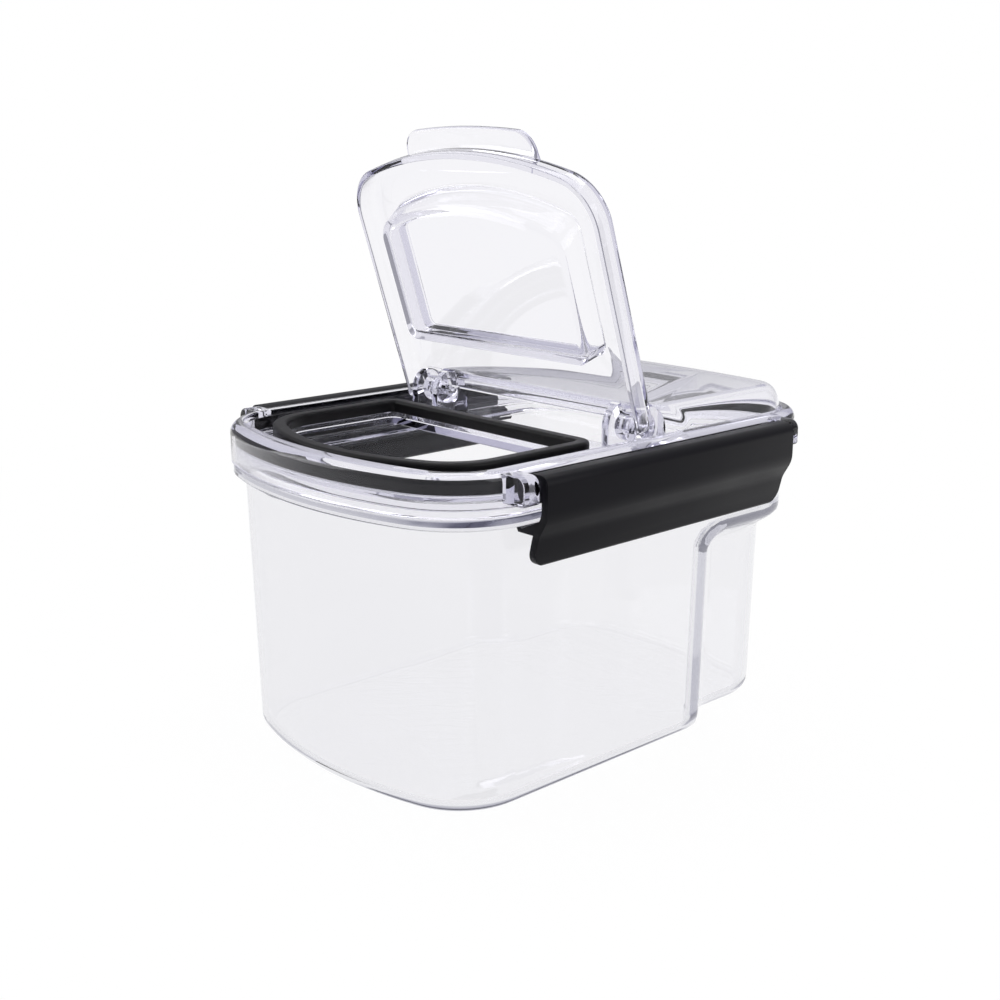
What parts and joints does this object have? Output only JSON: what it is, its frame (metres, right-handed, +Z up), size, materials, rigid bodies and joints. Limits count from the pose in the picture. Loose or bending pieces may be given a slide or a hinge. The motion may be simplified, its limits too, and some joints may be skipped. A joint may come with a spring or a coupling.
{
  "type": "cereal container",
  "caption": "Clear dry-food box with a bowed front, hand recesses at the rear, a sealed lid held by two side latches, and a flip-up cover over a pouring spout.",
  "frame": {"origin": "on the table, under the middle of the object's box, midway between the two latches", "axes": "+Z up, +X across the box towards one latch, -Y towards the bowed front with the pouring spout"},
  "size_m": [0.14, 0.17, 0.1884],
  "materials": {
    "clear_body": "clear, polished",
    "clear_lid": "clear, polished",
    "black_seal": "soft silicone, matte",
    "pin_plastic": "clear",
    "black_plastic": "satin moulded"
  },
  "bodies": {
    "container": {"container_body": "clear_body", "lid": "clear_lid", "rim_gasket": "black_seal", "spout_gasket": "black_seal", "hinge_pin_left": "pin_plastic", "hinge_pin_right": "pin_plastic"},
    "cover": {"spout_cover": "clear_lid"},
    "left_latch": {"latch_left": "black_plastic"},
    "right_latch": {"latch_right": "black_plastic"}
  },
  "joints": [
    {"name": "cover_hinge", "type": "hinge", "parent": "container", "child": "cover", "pos_m": [0, 0.0072, 0.1015], "axis": [-1, 0, 0], "range_deg": [-72.2, 28]},
    {"name": "left_latch_hinge", "type": "hinge", "parent": "container", "child": "left_latch", "pos_m": [-0.065, 0, 0.096], "axis": [0, 1, 0], "range_deg": [0, 105]},
    {"name": "right_latch_hinge", "type": "hinge", "parent": "container", "child": "right_latch", "pos_m": [0.065, 0, 0.096], "axis": [0, -1, 0], "range_deg": [0, 105]}
  ]
}
